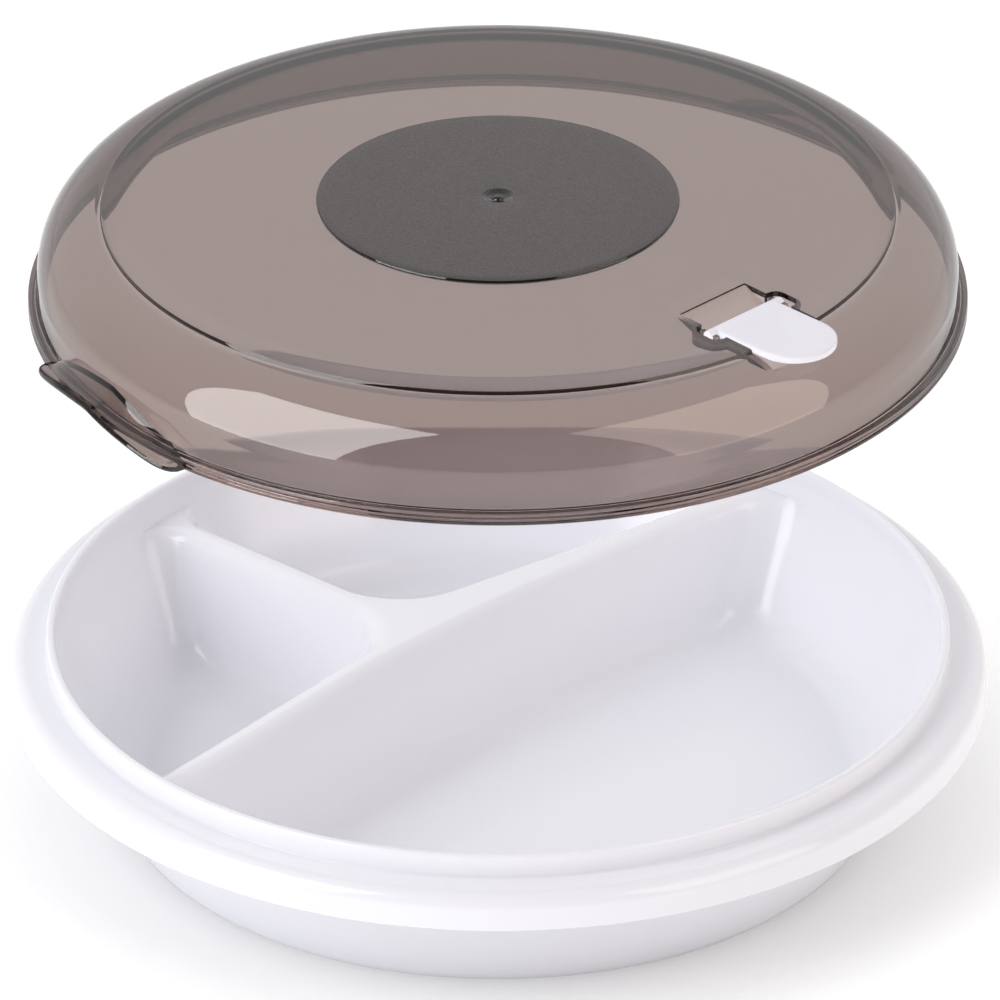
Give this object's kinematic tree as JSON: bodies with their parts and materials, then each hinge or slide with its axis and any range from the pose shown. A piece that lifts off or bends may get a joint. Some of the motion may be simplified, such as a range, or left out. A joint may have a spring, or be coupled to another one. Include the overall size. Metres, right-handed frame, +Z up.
{
  "type": "divided plate with vented lid",
  "caption": "Round divided plate with a skirted rim and a lift-off smoked lid that has two lift tabs and a hinged steam vent flap.",
  "frame": {"origin": "middle of the foot, on the surface that the plate stands on", "axes": "+Z up through the middle of the plate and the lid; the front lift tab is towards -X -Y and the vent flap towards +X -Y"},
  "size_m": [0.26, 0.26, 0.175],
  "materials": {
    "white_polypropylene": "glossy moulded white polypropylene",
    "smoked_clear_plastic": "clear smoke-tinted moulded plastic with a fine-textured disc in the middle of its top",
    "white_flap_plastic": "satin moulded white plastic"
  },
  "bodies": {
    "plate": {"divided_plate": "white_polypropylene"},
    "lid": {"lid": "smoked_clear_plastic"},
    "flap": {"vent_flap": "white_flap_plastic"}
  },
  "joints": [
    {"name": "lid_lift", "type": "slide", "parent": "plate", "child": "lid", "axis": [0, 0, 1], "range_m": [-0.1, 0]},
    {"name": "vent_flap_hinge", "type": "hinge", "parent": "lid", "child": "flap", "pos_m": [0.06223, -0.06223, 0.17175], "axis": [-0.7071, -0.7071, 0], "range_deg": [0, 150]}
  ]
}
